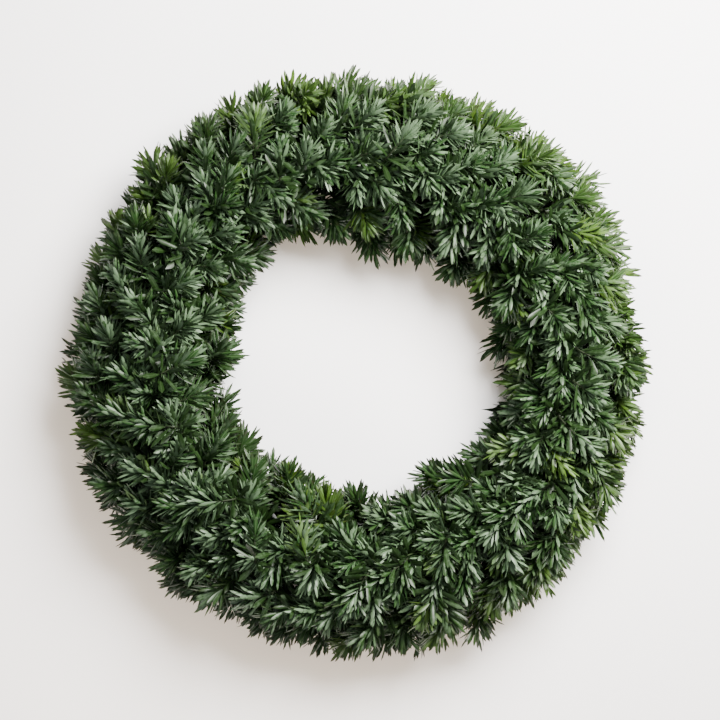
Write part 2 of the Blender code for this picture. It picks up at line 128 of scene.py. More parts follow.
railMiddle = (ring["railRadii"][0] + ring["railRadii"][-1]) / 2
windingReach = stem["seatRadius"] + ring["wireClearance"] + ring["wireRadius"]
acrossWidth = np.ptp(ring["railRadii"]) + 2 * (windingReach - ring["wireSlant"])
stemHeight = ring["railHeight"] + ring["railSide"] / 2 + stem["seat"] + stem["seatRadius"]
buttTurn = (stem["stops"][0] + stem["stops"][1]) / 2 - stationTurn / 2


def windingTurn(radius):
    return -ring["acrossShare"] * stationTurn * (radius - railMiddle) / acrossWidth


def railOf(lane, station):
    rails = stem["lanes"][lane]
    return ring["railRadii"][rails[station % len(rails)]]


def layOutTufts():
    # The foliage's section is an ellipse. Its length is parted in steps of equal area, one a tuft,
    # and each tuft comes the golden share of a turn after the last.
    middleRadius = (wreath["tipRadius"] + wreath["holeRadius"]) / 2
    halfWidth = (wreath["tipRadius"] - wreath["holeRadius"]) / 2
    halfDepth = wreath["depth"] / 2
    total = wreath["stations"] * sum(wreath["tuftsPerSpray"].values())
    angle = np.linspace(wreath["firstSectionAngle"], wreath["lastSectionAngle"], 721)
    step = np.hypot(halfWidth * np.sin(angle), halfDepth * np.cos(angle))
    area = np.cumsum((middleRadius + halfWidth * np.cos(angle)) * step)
    number = np.arange(total)
    section = np.interp((number + 0.5) / total, (area - area[0]) / (area[-1] - area[0]), angle)
    turn = math.tau * (number * goldenTurn % 1.0)

    order, spray, rank = [], [], []
    first = 0
    for laneIndex, (lane, count) in enumerate(wreath["tuftsPerSpray"].items()):
        members = np.arange(first, first + wreath["stations"] * count)
        first += wreath["stations"] * count
        laneTurn = (windingTurn(railOf(lane, 0)) + windingTurn(railOf(lane, 1))) / 2
        along = (laneTurn - stem["lead"][lane] - turn[members]) % math.tau
        order.append(members[np.argsort(along)])
        spray.append(laneIndex * wreath["stations"] + np.arange(wreath["stations"]).repeat(count))
        rank.append(np.tile(np.arange(count), wreath["stations"]))
    order, spray, rank = (np.concatenate(part) for part in (order, spray, rank))
    turn, section = turn[order], section[order]

    shake = np.random.default_rng(wreath["seed"]).uniform(-1, 1, (total, 4))
    across = np.cos(section)
    radius = middleRadius + halfWidth * across
    radius += np.maximum(across, 0) ** 2 * waves(wreath["outerWaves"], turn)
    radius += np.maximum(-across, 0) ** 2 * waves(wreath["innerWaves"], turn)
    height = halfDepth * (1 + np.sin(section))
    fan = unit(np.stack([radius - middleRadius, height - wreath["fanHeight"]], -1))
    radius += wreath["placeRange"] * shake[:, 0] * fan[:, 0]
    height += wreath["placeRange"] * shake[:, 0] * fan[:, 1]
    turn = turn + wreath["placeRange"] * shake[:, 1] / radius
    return {"radius": radius, "turn": turn, "height": height, "fan": fan, "across": across,
            "spray": spray, "rank": rank}


def layOutStems():
    # each spray's stem is an arc that lies along its rail, clockwise from its cut end
    stems = []
    for lane in laneNames:
        for station in range(wreath["stations"]):
            radius = railOf(lane, station)
            middle = windingTurn(radius) - stationTurn * (station + 0.5)
            stems.append((radius, middle))
    return np.array(stems)


tufts = layOutTufts()
stems = layOutStems()
sprayCount = len(stems)
shootCount = len(tufts["turn"])
random = np.random.default_rng(wreath["seed"] + 2)

# How the shoots lie over one another, from the crown of the ring to its two edges
lay = {
    "crownLean": math.radians(66),  # off the foliage's surface, clockwise
    "edgeLean": math.radians(38),
    "leanRange": math.radians(13),
    "neutralRadius": 0.200,  # further in the shoots veer to the hole, further out outwards
    "veer": math.radians(45) / 0.030,
    "mostVeer": math.radians(62),
    "veerRange": math.radians(20),
    "reachRange": 0.0045,  # how far shoots stand out from their neighbours
    "straggler": 0.0100,  # a few stand out further
    "stragglerShare": 0.12,
    "sink": 0.0050,  # how much lower the shoots lie on the crown
    "rimTrim": 0.0045,  # how much further back at the two rims, where their leaves are longest
    "outward": 0.9,  # how far leaves and fans turn from the foliage's surface towards the front
    "fanOutward": 2.0,
    "cores": (0.015, 0.033),  # the stretch with leaves: short in a rosette, long in a comb
    "collar": 0.014,  # from a tuft's tip leaves back to its base, besides the core
    "follow": 0.5,  # how far a shoot leaves its stem along it
    "lowest": 0.0015,  # leaves past these two heights are left off
    "highest": 0.1460,
    "pressFrom": 0.060,  # above this height the foliage lies closer, so it ends at the frame's depth
    "pressTo": 0.88,
}


def layShoots():
    # axis = cos(lean) * fan + sin(lean) * sweep, where the sweep is clockwise turned by the veer
    turn, fan = tufts["turn"], tufts["fan"]
    face = fan[:, :1] * outward(turn) + fan[:, 1:] * upward
    crown = np.clip(fan[:, 1], 0, 1) ** 1.5
    lean = lerp((lay["edgeLean"], lay["crownLean"]), crown)
    lean = lean + lay["leanRange"] * random.uniform(-1, 1, shootCount)
    veer = lay["veer"] * (tufts["radius"] - lay["neutralRadius"])
    veer = np.clip(veer, -lay["mostVeer"], lay["mostVeer"])
    veer = (crown * veer + lay["veerRange"] * random.standard_normal(shootCount))[:, None]
    along = clockwise(turn)
    sweep = np.cos(veer) * along + np.sin(veer) * np.cross(face, along)
    axis = unit(np.cos(lean)[:, None] * face + np.sin(lean)[:, None] * sweep)
    reach = lay["reachRange"] * random.uniform(-1, 1, shootCount)
    reach -= lay["rimTrim"] * tufts["across"] ** 2
    strays = random.uniform(0, 1, shootCount) > 1 - lay["stragglerShare"]
    reach += lay["straggler"] * (1 - 0.6 * crown) * strays
    tip = at(tufts["radius"], turn, tufts["height"]) + (reach - lay["sink"] * crown)[:, None] * face
    return tip, axis, face


tips, axes, faceOut = layShoots()
outside = unit(faceOut + lay["outward"] * upward)
spread = unit(faceOut + lay["fanOutward"] * upward)  # the fans of leaves lie square to this
cores = random.uniform(*lay["cores"], shootCount)
bases = tips - (cores + lay["collar"])[:, None] * axes
rim = np.clip(3 * np.abs(tufts["across"]) - 2, 0, 1)  # 0 on the crown, rising to 1 at both rims


def shootRoots():
    # side shoots share three levels of the stem in the order that they grow, the last has its tip
    count = np.array([wreath["tuftsPerSpray"][lane] for lane in laneNames])
    count = count[tufts["spray"] // wreath["stations"]]
    level = np.minimum(3 * tufts["rank"] // np.maximum(count - 1, 1), 3)
    level = np.where(tufts["rank"] == count - 1, 3, level)
    stops = stem["stops"]
    ahead = np.append((stops[1:-1] + stops[2:]) / 2, stops[-1])
    radius, middle = stems[tufts["spray"]].T
    turn = middle + ahead[level]
    return at(radius, turn, stemHeight), clockwise(turn)


roots, forward = shootRoots()
leaving = unit(unit(bases - roots) + lay["follow"] * forward)


def shootCurve(start, leave, end, arrive, share):
    # cubic that leaves one point along one direction and comes to the other along another
    share = share[..., None]
    span = np.linalg.norm(end - start, axis=-1, keepdims=True)
    place = (2 * share ** 3 - 3 * share ** 2 + 1, share ** 3 - 2 * share ** 2 + share,
             3 * share ** 2 - 2 * share ** 3, share ** 3 - share ** 2)
    slope = (6 * share ** 2 - 6 * share, 3 * share ** 2 - 4 * share + 1,
             6 * share - 6 * share ** 2, 3 * share ** 2 - 2 * share)
    ends = (start, span * leave, end, span * arrive)
    return sum(h * e for h, e in zip(place, ends)), unit(sum(h * e for h, e in zip(slope, ends)))


blade = {
    "leastHalfWidth": 0.00045,  # at the leafstalk
    "thickness": 0.00042,  # halved towards the point
    "leastBend": 1e-3,
}


def leafProfile(share):
    # half width: grows evenly from the leafstalk, is widest at three fifths, and rounds off
    swell = share ** 1.05 * (1 - share) ** 0.68
    return swell / swell.max()


def growLeaves(leaf, shares):
    # A leaf's middle line bends in the plane of its shoot's axis and its own side: at a share of its
    # length its slope is tilt + bend * share. Its upper face is a low roof, its lower one is flat.
    share = np.array(shares)
    stations = len(share) - 1
    count = len(leaf["root"])
    least = blade["leastBend"]
    bend = np.where(np.abs(leaf["bend"]) < least, least, leaf["bend"])[:, None]
    start = leaf["tilt"][:, None]
    angle = start + bend * share
    ahead = (np.sin(angle) - np.sin(start)) / bend
    aside = (np.cos(start) - np.cos(angle)) / bend
    axis, side = leaf["axis"][:, None], leaf["side"][:, None]
    length = leaf["length"][:, None, None]
    line = leaf["root"][:, None] + length * (ahead[..., None] * axis + aside[..., None] * side)
    along = np.cos(angle)[..., None] * axis + np.sin(angle)[..., None] * side
    up = np.sin(angle)[..., None] * axis - np.cos(angle)[..., None] * side
    # each leaf's upper face looks out of the wreath, and the blade turns further towards the light
    outer = leaf["outer"][:, None]
    facing = (up * outer).sum(-1, keepdims=True).mean(1, keepdims=True)
    up = np.where(facing < 0, -up, up)  # one facing for the whole leaf
    level = outer - (along * outer).sum(-1, keepdims=True) * along
    up = unit(up + leaf["toLight"][:, None, None] * level)
    flat = np.cross(along, up)
    twist = (leaf["twist"][:, None] * share)[..., None]
    up, flat = up * np.cos(twist) + flat * np.sin(twist), flat * np.cos(twist) - up * np.sin(twist)

    x = np.array([-1.0, 0.0, 1.0])  # edge, midrib, edge
    width = leaf["width"][:, None] / 2 * leafProfile(share)
    width = np.maximum(width, blade["leastHalfWidth"])[..., None]
    thick = blade["thickness"] * (1 - 0.5 * share)[None, :, None]
    ridge = (1 - np.abs(x)) * (thick + leaf["roof"][:, None, None] * width)
    points = (line[:, :, None] + (width * x)[..., None] * flat[:, :, None]
              + ridge[..., None] * up[:, :, None])
    verts = np.concatenate([points[:, :-1].reshape(count, -1, 3), line[:, -1:]], 1)

    size = len(x)
    faces = tubeFaces(stations, size)[:-1]
    last = (stations - 1) * size
    faces += [[last + j, last + (j + 1) % size, stations * size] for j in range(size)]
    under = [j % size == 2 for j in range((stations - 1) * size)] + [True] + [j == 2 for j in range(size)]
    uv = np.stack(np.broadcast_arrays(share[:-1, None], (x + 1) / 2), -1).reshape(-1, 2)
    return verts, faces, np.array(under, int), np.concatenate([uv, [[1.0, 0.5]]])


def tube(line, radius, sides, helper, closed=False):
    # circle carried along each line, each ring turned to the same helper direction
    slope = np.roll(line, -1, -2) - np.roll(line, 1, -2) if closed else np.gradient(line, axis=-2)
    axis = unit(slope)
    first = unit(np.cross(helper, axis))
    second = np.cross(axis, first)
    angle = np.arange(sides) * math.tau / sides
    spoke = np.cos(angle)[:, None] * first[..., None, :] + np.sin(angle)[:, None] * second[..., None, :]
    return line[..., None, :] + np.asarray(radius)[..., None, None] * spoke


def tubeFaces(rings, sides, closed=False):
    faces = []
    for k in range(rings if closed else rings - 1):
        lower, upper = k * sides, (k + 1) % rings * sides
        for j in range(sides):
            n = (j + 1) % sides
            faces.append([lower + j, lower + n, upper + n, upper + j])
    if not closed:
        faces.append(list(range(sides))[::-1])
        faces.append([(rings - 1) * sides + j for j in range(sides)])
    return faces


def repeatFaces(faces, count, stride, first):
    # the same faces for each of count copies, whose points follow one another
    sizes = np.array([len(face) for face in faces])
    loops = np.concatenate([np.array(face) for face in faces])
    loops = (loops[None] + first + stride * np.arange(count)[:, None]).ravel()
    return loops, np.tile(sizes, count)


def buildMesh(name, verts, loops, sizes, slots, uv, tone, materials, sharpAngle):
    mesh = bpy.data.meshes.new(name)
    mesh.vertices.add(len(verts))
    mesh.vertices.foreach_set("co", verts.astype(np.float32).ravel())
    mesh.loops.add(len(loops))
    mesh.loops.foreach_set("vertex_index", loops.astype(np.int32))
    mesh.polygons.add(len(sizes))
    mesh.polygons.foreach_set("loop_start", np.concatenate([[0], np.cumsum(sizes)[:-1]]).astype(np.int32))
    mesh.polygons.foreach_set("material_index", slots.astype(np.int32))
    mesh.update(calc_edges=True)
    layer = mesh.uv_layers.new(name="leafMap")
    layer.data.foreach_set("uv", uv[loops].astype(np.float32).ravel())
    if tone is not None:
        colour = mesh.color_attributes.new("leafTone", "FLOAT_COLOR", "POINT")
        colour.data.foreach_set("color", tone.astype(np.float32).ravel())
    for material in materials:
        mesh.materials.append(material)
    mesh.shade_smooth()
    mesh.set_sharp_from_angle(angle=sharpAngle)
    piece = bpy.data.objects.new(name, mesh)
    bpy.context.scene.collection.objects.link(piece)
    return piece


# Materials

def srgb(code, alpha=1.0):
    # hex code to linear light
    parts = np.array([int(code[k:k + 2], 16) for k in (1, 3, 5)]) / 255
    linear = np.where(parts <= 0.04045, parts / 12.92, ((parts + 0.055) / 1.055) ** 2.4)
    return (*[float(v) for v in linear], alpha)


def newMaterial(name):
    material = bpy.data.materials.new(name)
    material.use_nodes = True
    return material, material.node_tree.nodes["Principled BSDF"]


def node(material, kind, links=None, **settings):
    # adds a node, sets its properties and sockets, and links sockets to it
    tree = material.node_tree
    made = tree.nodes.new(kind)
    for key, value in settings.items():
        if hasattr(made, key):
            setattr(made, key, value)
        else:
            made.inputs[key].default_value = value
    for socket, source in (links or {}).items():
        tree.links.new(source, made.inputs[socket])
    return made


def mixColours(material, factor, first, second, blend="MIX"):
    made = node(material, "ShaderNodeMix", data_type="RGBA", blend_type=blend)
    for index, value in ((0, factor), (6, first), (7, second)):
        if isinstance(value, bpy.types.NodeSocket):
            material.node_tree.links.new(value, made.inputs[index])
        else:
            made.inputs[index].default_value = value
    return made.outputs[2]


def ramp(material, source, stops):
    made = node(material, "ShaderNodeValToRGB", {"Fac": source})
    elements = made.color_ramp.elements
    for index, (position, value) in enumerate(stops):
        item = elements[index] if index < 2 else elements.new(position)
        item.position = position
        item.color = (value, value, value, 1.0)
    return made.outputs["Color"]


def noise(material, scale, detail):
    # seamless pattern in the piece's own space
    space = node(material, "ShaderNodeTexCoord")
    place = {"Vector": space.outputs["Object"]}
    return node(material, "ShaderNodeTexNoise", place, Scale=scale, Detail=detail).outputs["Fac"]


def product(material, first, second):
    return node(material, "ShaderNodeMath", {0: first, 1: second}, operation="MULTIPLY").outputs[0]


leafLook = {
    "deep": "#264c24",
    "old": "#14290b",  # the leaves inside: old dark green, darkened further as painted shade deep in the wreath
    "waxBloomAndSheen": "#8faa8a",  # grey-green wax bloom, paler than the real wax, so it also stands in as painted highlight
    "young": "#658826",
    # dark points: dry tips, and painted shade on the rims' leaves
    "midrib": "#86a070",
    "dryAndShadedTip": "#2c2416",
    "under": "#46583a",
    "roughness": 0.40,
}


def makeLeafUpper():
    # Yew pine leaf, grown: leathery, with a thin wax bloom that turns deep green to blue-grey in patches.
    # The bloom is also painted highlight: paler on random leaves and on each leaf's outer part, with
    # painted shade at its base, on the rims away from the lamp and on the old leaves deep inside. A paler
    # midrib and a dark point, partly dry tip and partly painted shade.
    material, shader = newMaterial("yewPineLeafUpperWaxAndPaintedLight")
    tone = node(material, "ShaderNodeAttribute", attribute_name="leafTone")
    parts = node(material, "ShaderNodeSeparateColor", {"Color": tone.outputs["Color"]})
    # the green channel, light, is each leaf's level of wax bloom and painted highlight
    youth, light, dryAndShadedTip = (parts.outputs[k] for k in ("Red", "Green", "Blue"))
    place = node(material, "ShaderNodeUVMap", uv_map="leafMap")
    spot = node(material, "ShaderNodeSeparateXYZ", {"Vector": place.outputs["UV"]})
    along, across = spot.outputs["X"], spot.outputs["Y"]
    patch = noise(material, 260.0, 3.0)
    waxAndSheenLevel = node(material, "ShaderNodeMath", {0: patch, 1: light}, operation="ADD")
    waxAndSheen = ramp(material, waxAndSheenLevel.outputs[0], ((0.75, 0.0), (1.05, 0.65)))
    # painted shade: less bloom towards each leaf's base, where neighbours shade it, so the outer part
    # looks lit
    waxAndSheen = product(material, waxAndSheen, ramp(material, along, ((0.05, 0.25), (0.5, 1.0))))
    # darker towards the old green on old leaves, partly age and partly painted shade, with less wax there
    green = mixColours(material, tone.outputs["Alpha"], srgb(leafLook["old"]), srgb(leafLook["deep"]))
    waxAndSheen = product(material, waxAndSheen, tone.outputs["Alpha"])
    colour = mixColours(material, waxAndSheen, green, srgb(leafLook["waxBloomAndSheen"]))
    colour = mixColours(material, youth, colour, srgb(leafLook["young"]))
    centre = node(material, "ShaderNodeMath", {0: across}, operation="SUBTRACT")
    centre.inputs[1].default_value = 0.5
    off = node(material, "ShaderNodeMath", {0: centre.outputs[0]}, operation="ABSOLUTE")
    rib = ramp(material, off.outputs[0], ((0.03, 0.5), (0.09, 0.0)))
    rib = product(material, rib, tone.outputs["Alpha"])
    colour = mixColours(material, rib, colour, srgb(leafLook["midrib"]))
    # dark point: partly dry tip, partly painted shade, most on the rims
    point = ramp(material, along, ((0.66, 0.0), (0.95, 1.0)))
    colour = mixColours(material, product(material, point, dryAndShadedTip), colour, srgb(leafLook["dryAndShadedTip"]))
    material.node_tree.links.new(colour, shader.inputs["Base Color"])
    shader.inputs["Roughness"].default_value = leafLook["roughness"]
    shader.inputs["Specular IOR Level"].default_value = 0.45
    return material


def makeLeafUnder():
    # The same leaf's lower face: duller and browner green, without the wax
    material, shader = newMaterial("yewPineLeafMattUnder")
    tone = node(material, "ShaderNodeAttribute", attribute_name="leafTone")
    parts = node(material, "ShaderNodeSeparateColor", {"Color": tone.outputs["Color"]})
    # the lower face darkens towards the same old green, partly age and partly painted shade
    green = mixColours(material, tone.outputs["Alpha"], srgb(leafLook["old"]), srgb(leafLook["under"]))
    colour = mixColours(material, parts.outputs["Red"], green, srgb(leafLook["young"]))
    material.node_tree.links.new(colour, shader.inputs["Base Color"])
    shader.inputs["Roughness"].default_value = 0.6
    return material


def makeBark():
    # Young yew pine shoot: green-brown bark, ribbed along its length
    material, shader = newMaterial("yewPineShootBark")
    grain = noise(material, 900.0, 4.0)
    colour = mixColours(material, grain, srgb("#1f2817"), srgb("#374224"))
    material.node_tree.links.new(colour, shader.inputs["Base Color"])
    bump = node(material, "ShaderNodeBump", {"Height": grain}, Strength=0.5, Distance=0.0003)
    material.node_tree.links.new(bump.outputs["Normal"], shader.inputs["Normal"])
    shader.inputs["Roughness"].default_value = 0.75
    return material


def makePaintedSteel():
    # Mild steel wire, welded and dipped in dark green paint, rubbed thin here and there
    material, shader = newMaterial("greenDippedSteel")
    wear = noise(material, 140.0, 6.0)
    worn = ramp(material, wear, ((0.60, 0.0), (0.72, 1.0)))
    colour = mixColours(material, worn, srgb("#1f3a26"), srgb("#4a5a4a"))
    material.node_tree.links.new(colour, shader.inputs["Base Color"])
    shader.inputs["Metallic"].default_value = 0.0
    shader.inputs["Roughness"].default_value = 0.38
    shader.inputs["Coat Weight"].default_value = 0.25
    return material


def makeBindingSteel():
    # Annealed florist's wire, drawn and lacquered green
    material, shader = newMaterial("greenLacqueredFloristWire")
    wear = noise(material, 420.0, 3.0)
    colour = mixColours(material, wear, srgb("#2b3d26"), srgb("#55624a"))
    material.node_tree.links.new(colour, shader.inputs["Base Color"])
    shader.inputs["Metallic"].default_value = 0.6
    shader.inputs["Roughness"].default_value = 0.35
    return material


leafUpper, leafUnder, bark = makeLeafUpper(), makeLeafUnder(), makeBark()
paintedSteel, bindingSteel = makePaintedSteel(), makeBindingSteel()
print("materials made")


# Foliage

# The values in pairs run from a tuft's lowest leaf to its last one, or from least to most
tuft = {
    "leaves": 38,
    "lengths": (0.0245, 0.0180),
    "widths": (0.0045, 0.0037),
    "tilts": np.radians([74, 26]),  # off the shoot's axis
    "bend": math.radians(-12),
    "toLight": (-0.1, 0.6),  # how far a blade turns its upper face outwards
}
sideTuft = {
    "leaves": 26,
    "lengths": (0.0235, 0.0175),
    "widths": (0.0046, 0.0037),
    "tilts": np.radians([74, 24]),
    "bend": math.radians(-10),
    "toLight": (0.0, 0.8),
}
anyLeaf = {
    "shares": (0.0, 0.26, 0.58, 0.86, 1.0),  # where a leaf has its sections
    "roof": (0.12, 0.40),  # rise of the midrib over the edges, as a share of half the width
    "flatten": 0.5,  # the leaves of a shoot spread sideways more than up and down
    "rimFlatten": 0.2,  # and more so at the rims
    "sizes": (0.82, 1.18),
    "shootSizes": (0.84, 1.10),
    "topShorter": 0.15,  # leaves on top of a shoot are shorter and lie closer to it
    "topCloser": 0.35,
    "rimLonger": 0.17,
    "rimToLight": 0.9,
    "tiltRange": math.radians(11),
    "bendRange": math.radians(20),
    "twistRange": math.radians(22),
    "sunTurn": math.radians(40),  # the side the lamp lights from: most yellow-green leaves there, and painted shade on the rims away from it
}
branch = {
    "from": (0.45, 0.75),  # share of the stalk that a side shoot leaves at
    "turns": (0.30, 0.85),
    "lift": 0.15,
    "spacing": 0.026,
    "behind": (0.000, 0.016),
    "below": (0.002, 0.010),
    "cores": (0.014, 0.026),
    "follow": 0.6,
    "rings": 4,
}
inside = {
    "leaves": 32,
    "start": (0.12, 0.45),  # share of the stalk that is bare, on the crown and at the rims
    "lengths": (0.022, 0.030),
    "width": 0.0057,
    "tilts": np.radians([66, 50]),
    "shares": (0.0, 0.32, 0.76, 1.0),
}
stalk = {
    "radius": 0.0015,
    "sideRadius": 0.0010,
    "tipRadius": 0.0007,
    "rings": 8,
    "sides": 5,
}
bed = {
    "leaves": 72,  # along each main stem
    "lengths": (0.030, 0.042),
    "skirtLengths": (0.036, 0.050),  # under the rims, where they close the gaps above the floor
    "width": 0.0072,
    "tilts": np.radians([28, 78]),
    "shares": (0.0, 0.35, 0.72, 1.0),
}


def leafTone(youth, light, dryAndShadedTip, ageAndShade):
    return np.stack(np.broadcast_arrays(youth, light, dryAndShadedTip, ageAndShade), -1)


def pressed(points):
    # height = start + share * (height - start) for what stands above the start
    high = np.maximum(points[..., 2:] - lay["pressFrom"], 0)
    return points - (1 - lay["pressTo"]) * high * upward


def whorl(axis, turnOf, centre, radius):
    first, second = squareTo(axis)
    side = np.cos(turnOf)[..., None] * first + np.sin(turnOf)[..., None] * second
    return side, centre + radius * side


def tuftLeaves(shoots, look):
    # leaves in a spiral up the shoot's last stretch, the lowest long and wide apart, the last upright
    count = len(shoots["base"])
    shape = (count, look["leaves"])
    share = np.broadcast_to((np.arange(shape[1]) + 0.5) / shape[1], shape)
    axis = np.broadcast_to(shoots["axis"][:, None], (*shape, 3))
    centre = shoots["base"][:, None] + share[..., None] * shoots["core"][:, None, None] * axis
    turnOf = math.tau * goldenTurn * np.arange(shape[1]) + random.uniform(0, math.tau, (count, 1))
    side, root = whorl(axis, turnOf + random.uniform(-0.3, 0.3, shape), centre, 0.0008)
    face = spread[:, None]
    flatter = (anyLeaf["flatten"] + anyLeaf["rimFlatten"] * rim)[:, None, None]
    side = side - flatter * (side * face).sum(-1, keepdims=True) * face
    side = unit(side - (side * axis).sum(-1, keepdims=True) * axis)
    top = np.clip((side * face).sum(-1), 0, 1)
    size = random.uniform(*anyLeaf["sizes"], shape) * random.uniform(*anyLeaf["shootSizes"], (count, 1))
    size = size * (1 - anyLeaf["topShorter"] * top) * (1 + anyLeaf["rimLonger"] * rim)[:, None]

    # yellow-green leaves: some shoots at random, most on the outer rim on the lamp's side, and a
    # yellow-green tint over that side's outer rim
    sunny = 0.5 + 0.5 * np.cos(tufts["turn"] - anyLeaf["sunTurn"])
    outer = rim * (tufts["across"] > 0)
    chance = outer * (0.10 + 0.6 * sunny) + (rim - outer) * 0.12 + 0.05
    fresh = random.uniform(0, 1, count) < chance
    youth = np.where(fresh, random.uniform(0.5, 0.9, count), 0.10 + 0.35 * outer * sunny)[:, None]
    youth = youth * (0.65 + 0.35 * share) * random.uniform(0.65, 1.0, shape)
    # each leaf's level of wax bloom and painted highlight, random by shoot and by leaf
    light = 0.4 * random.uniform(0, 1, count)[:, None] + 0.55 * random.uniform(0, 1, shape)
    # painted shade: less bloom and painted highlight on the rims
    light = light - (0.05 + 0.32 * rim)[:, None]
    # dark points, partly dry tips and partly painted shade, strongest at the rims
    dryAndShadedTip = (0.3 + 0.7 * rim)[:, None] * random.uniform(0, 1, shape) ** 0.7
    # painted shade, partly age: the lowest leaves of a tuft and the rims away from the lamp are darkened
    # towards the old green
    ageAndShade = (0.35 + 0.65 * np.clip(2 * share, 0, 1)) * (1 - 0.5 * rim * (1 - sunny))[:, None]
    tilt = lerp(look["tilts"], share ** 1.3) * (1 - anyLeaf["topCloser"] * top)
    return {
        "root": root, "axis": axis, "side": side,
        "outer": np.broadcast_to(outside[:, None], axis.shape),
        "length": lerp(look["lengths"], share) * size,
        "width": lerp(look["widths"], share) * random.uniform(0.8, 1.15, shape),
        "tilt": tilt + anyLeaf["tiltRange"] * random.uniform(-1, 1, shape),
        "bend": look["bend"] + anyLeaf["bendRange"] * random.uniform(-1, 1, shape),
        "twist": anyLeaf["twistRange"] * random.uniform(-1, 1, shape),
        "toLight": random.uniform(*look["toLight"], shape) + (anyLeaf["rimToLight"] * rim)[:, None],
        "roof": random.uniform(*anyLeaf["roof"], shape),
        "tone": leafTone(youth, light, dryAndShadedTip, ageAndShade),
    }


def insideLeaves():
    # older leaves along the stalk behind each tuft, which fill the wreath's inside; coloured close to the
    # old green, partly age and partly painted shade
    shape = (shootCount, inside["leaves"])
    share = np.broadcast_to((np.arange(shape[1]) + 0.5) / shape[1], shape)
    bare = lerp(inside["start"], rim[:, None])
    where = bare + (1 - bare) * share
    centre, axis = shootCurve(roots[:, None], leaving[:, None], bases[:, None], axes[:, None], where)
    turnOf = math.tau * goldenTurn * np.arange(shape[1]) + random.uniform(0, math.tau, (shootCount, 1))
    side, root = whorl(axis, turnOf, centre, 0.0011)
    return {
        "root": root, "axis": axis, "side": side, "outer": np.broadcast_to(outside[:, None], axis.shape),
        "length": random.uniform(*inside["lengths"], shape),
        "width": inside["width"] * random.uniform(0.85, 1.1, shape),
        "tilt": lerp(inside["tilts"], share) + math.radians(10) * random.uniform(-1, 1, shape),
        "bend": math.radians(18) * random.uniform(-1, 1, shape),
        "twist": math.radians(25) * random.uniform(-1, 1, shape),
        "toLight": random.uniform(0.6, 1.8, shape),
        "roof": random.uniform(*anyLeaf["roof"], shape),
        # close to the old green: painted shade inside the wreath as well as age
        "tone": leafTone(0.06 * share, 0.3 * share, 0.0, 0.3 * share ** 2),
    }


def bedLeaves():
    # the oldest leaves lie either side of each main stem and close the wreath's back; all in the old
    # green, which is partly painted shade
    shape = (sprayCount, bed["leaves"])
    share = np.broadcast_to((np.arange(shape[1]) + 0.5) / shape[1], shape)
    radius, middle = stems[:, :1], stems[:, 1:]
    turn = middle + lerp((stem["stops"][0], stem["stops"][-1]), share)
    axis = clockwise(turn)
    lane = np.arange(sprayCount)[:, None] // wreath["stations"]  # outer, front, inner
    number = np.arange(shape[1])
    towards = np.where(number % 4, 1.0, -1.0)
    sideways = np.choose(lane, [towards, np.where(number % 2, 1.0, -1.0), -towards])
    rise = random.uniform(-0.15, 0.75, shape)
    side = unit(sideways[..., None] * outward(turn) + rise[..., None] * upward)
    skirt = (lane != 1) & (number % 4 > 0)
    length = random.uniform(0, 1, shape)
    length = np.where(skirt, lerp(bed["skirtLengths"], length), lerp(bed["lengths"], length))
    return {
        "root": at(radius, turn, stemHeight) + 0.0015 * side, "axis": axis, "side": side,
        "outer": np.broadcast_to(upward, axis.shape),
        "length": length,
        "width": bed["width"] * random.uniform(0.85, 1.1, shape),
        "tilt": random.uniform(*bed["tilts"], shape),
        "bend": math.radians(15) * random.uniform(-1, 1, shape),
        "twist": math.radians(20) * random.uniform(-1, 1, shape),
        "toLight": random.uniform(0.3, 1.5, shape),
        "roof": random.uniform(*anyLeaf["roof"], shape),
        # all at the old green: painted shade at the wreath's back as well as age
        "tone": leafTone(0.0 * share, 0.0, 0.0, 0.0),
    }


def branchOff(hand):
    # A side shoot leaves each stalk at about two thirds of its length and stops below the surface,
    # turned to one side of the main shoot in the plane of the surface and a little behind it.
    root, along = shootCurve(roots, leaving, bases, axes, random.uniform(*branch["from"], shootCount))
    turned = hand * random.uniform(*branch["turns"], shootCount)[:, None]
    aside = unit(np.cross(spread, axes))
    axis = unit(np.cos(turned) * axes + np.sin(turned) * aside + branch["lift"] * faceOut)
    tip = tips + branch["spacing"] * np.sin(turned) * aside
    tip = tip - random.uniform(*branch["behind"], shootCount)[:, None] * axes
    tip = tip - random.uniform(*branch["below"], shootCount)[:, None] * faceOut
    core = random.uniform(*branch["cores"], shootCount)
    base = tip - (core + lay["collar"])[:, None] * axis
    leave = unit(along + branch["follow"] * unit(base - root))
    return {"base": base, "axis": axis, "root": root, "leave": leave, "core": core}


mainShoots = {"base": bases, "axis": axes, "root": roots, "leave": leaving, "core": cores}
sideShoots = (branchOff(1), branchOff(-1))
leafSets = ((tuftLeaves(mainShoots, tuft), tufts["spray"], anyLeaf["shares"]),
            (tuftLeaves(sideShoots[0], sideTuft), tufts["spray"], inside["shares"]),
            (tuftLeaves(sideShoots[1], sideTuft), tufts["spray"], inside["shares"]),
            (insideLeaves(), tufts["spray"], inside["shares"]),
            (bedLeaves(), np.arange(sprayCount), bed["shares"]))


